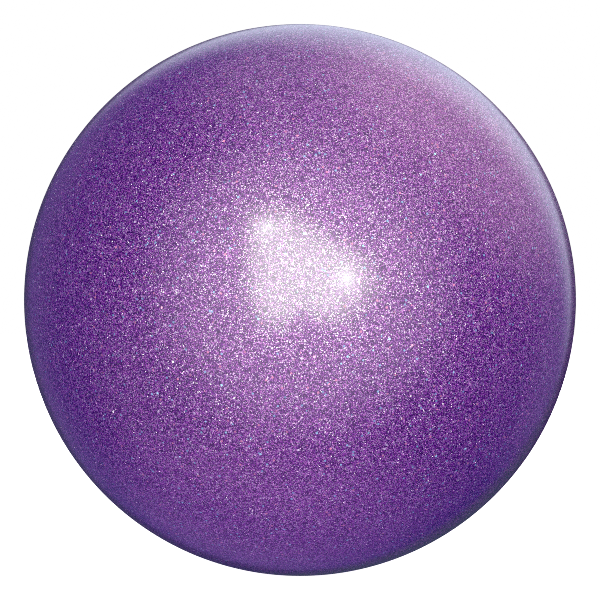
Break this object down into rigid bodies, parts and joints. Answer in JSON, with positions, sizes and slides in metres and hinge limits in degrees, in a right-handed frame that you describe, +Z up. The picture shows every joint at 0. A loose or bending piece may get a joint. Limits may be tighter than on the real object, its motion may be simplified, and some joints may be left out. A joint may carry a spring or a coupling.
{
  "type": "inflatable glitter ball",
  "caption": "Hand-sized inflatable ball with a purple glitter skin under a clear coat, for gymnastics, rolling and juggling, with a plugged needle valve.",
  "frame": {"origin": "centre of the ball", "axes": "+Y out through the needle valve, +Z up, +X completes the right-handed set"},
  "size_m": [0.185, 0.1849, 0.185],
  "materials": {
    "clear_coat": "clear gloss",
    "glitter": "purple with fine glitter flakes",
    "shell_rubber": "moulded, matte",
    "bladder_rubber": "smooth, matte",
    "boot_rubber": "satin",
    "core_rubber": "soft, matte",
    "plug": "satin"
  },
  "bodies": {
    "ball": {"clear_topcoat": "clear_coat", "glitter_layer": "glitter", "front_shell_half": "shell_rubber", "rear_shell_half": "shell_rubber", "bladder": "bladder_rubber", "valve_boot": "boot_rubber", "valve_core": "core_rubber"},
    "plug": {"valve_plug": "plug"}
  },
  "joints": [
    {"name": "plug_pull", "type": "slide", "parent": "ball", "child": "plug", "axis": [0, 1, 0], "range_m": [0, 0.06]}
  ]
}
